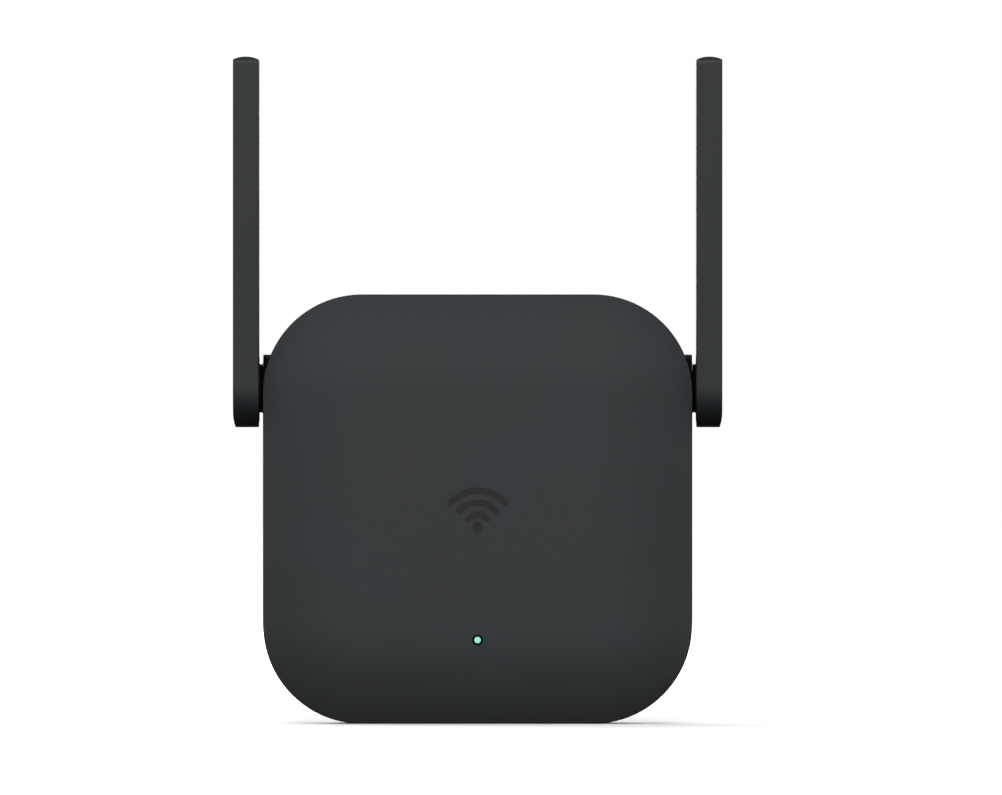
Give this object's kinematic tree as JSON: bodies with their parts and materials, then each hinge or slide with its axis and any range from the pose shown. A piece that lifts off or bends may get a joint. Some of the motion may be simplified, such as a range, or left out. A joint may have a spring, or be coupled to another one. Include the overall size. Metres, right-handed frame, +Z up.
{
  "type": "wifi range extender",
  "caption": "Plug-in wifi range extender: charcoal square body with round corners and crowned front, status light and folding flat antennas on side hinges.",
  "frame": {"origin": "middle of the plug block's flat end face, between the mains pins: the face that meets the wall socket", "axes": "+X to the right as the body faces the room, +Y along the pins into the wall, +Z up along the antennas"},
  "size_m": [0.0896, 0.0605, 0.1222],
  "materials": {
    "case_plastic": "matte charcoal ABS, fine moulded grain",
    "rear_plastic": "matte charcoal ABS, moulded",
    "antenna_plastic": "matte charcoal ABS, moulded",
    "hinge_plastic": "satin black acetal, moulded",
    "emblem_plastic": "tone-on-tone glossy inlay",
    "light_guide": "clear polycarbonate light pipe, mint light",
    "label": "matte grey polyester label, blank",
    "screw_steel": "zinc plated steel",
    "plug_plastic": "black polyamide, moulded",
    "pin_nickel": "nickel plated brass",
    "sleeve_plastic": "black insulating collar",
    "strap_copper": "tinned brass strap",
    "board_green": "green solder mask on glass epoxy",
    "chip_black": "black moulded epoxy package",
    "can_sleeve": "shrink sleeve over an aluminium can",
    "ferrite": "sintered ferrite",
    "winding": "enamelled copper wire under tape",
    "capacitor_blue": "blue epoxy dip",
    "insulator": "white insulating film",
    "thermal_pad": "soft silicone pad",
    "tinplate": "tinned steel sheet",
    "aluminium": "rolled aluminium",
    "ceramic": "fired chip ceramic",
    "led_lens": "clear epoxy over a green die",
    "copper": "bare copper",
    "coax_jacket": "black fluoropolymer jacket"
  },
  "bodies": {
    "case": {"board_header": "chip_black", "bridge_rectifier": "chip_black", "case_screws": "screw_steel", "chip_capacitors": "ceramic", "coax_plugs": "tinplate", "coax_sockets": "strap_copper", "converter_inductor": "ferrite", "crystal": "tinplate", "emblem_inlay": "emblem_plastic", "filter_inductor": "ferrite", "flash_chip": "chip_black", "friction_washers": "screw_steel", "front_cover": "case_plastic", "fuse": "chip_black", "heat_spreader": "aluminium", "hinge_bushes": "hinge_plastic", "inductor_winding": "winding", "insulation_sheet": "insulator", "left_coax_lead": "coax_jacket", "left_plug_pin": "pin_nickel", "light_guide": "light_guide", "main_board": "board_green", "main_board_screws": "screw_steel", "mains_straps": "strap_copper", "output_capacitors": "can_sleeve", "output_diode": "chip_black", "pin_sleeves": "sleeve_plastic", "plug_block": "plug_plastic", "power_board": "board_green", "power_board_screws": "screw_steel", "power_controller": "chip_black", "radio_chip": "chip_black", "rating_label": "label", "rear_cover": "rear_plastic", "reset_switch_body": "chip_black", "right_coax_lead": "coax_jacket", "right_plug_pin": "pin_nickel", "shield_can": "tinplate", "shield_frame": "tinplate", "status_led": "led_lens", "storage_capacitors": "can_sleeve", "thermal_pad": "thermal_pad", "transformer_coil": "winding", "transformer_core": "ferrite", "y_capacitor": "capacitor_blue"},
    "left_antenna": {"left_antenna_shell": "antenna_plastic", "left_antenna_cover": "antenna_plastic", "left_hinge_post": "hinge_plastic", "left_retaining_clip": "screw_steel", "left_element_board": "board_green", "left_radiator": "copper", "left_antenna_coax": "coax_jacket"},
    "right_antenna": {"right_antenna_shell": "antenna_plastic", "right_antenna_cover": "antenna_plastic", "right_hinge_post": "hinge_plastic", "right_retaining_clip": "screw_steel", "right_element_board": "board_green", "right_radiator": "copper", "right_antenna_coax": "coax_jacket"},
    "reset_button": {"reset_plunger": "insulator"}
  },
  "joints": [
    {"name": "left_antenna_tilt", "type": "hinge", "parent": "case", "child": "left_antenna", "pos_m": [-0.0393, -0.0282, 0.0221], "axis": [1, 0, 0], "range_deg": [0, 180]},
    {"name": "right_antenna_tilt", "type": "hinge", "parent": "case", "child": "right_antenna", "pos_m": [0.0393, -0.0282, 0.0221], "axis": [1, 0, 0], "range_deg": [0, 180]},
    {"name": "reset_button_press", "type": "slide", "parent": "case", "child": "reset_button", "axis": [0, 0, 1], "range_m": [0, 0.00025], "stiffness_N_per_m": 3000, "springref_m": -0.0002}
  ]
}
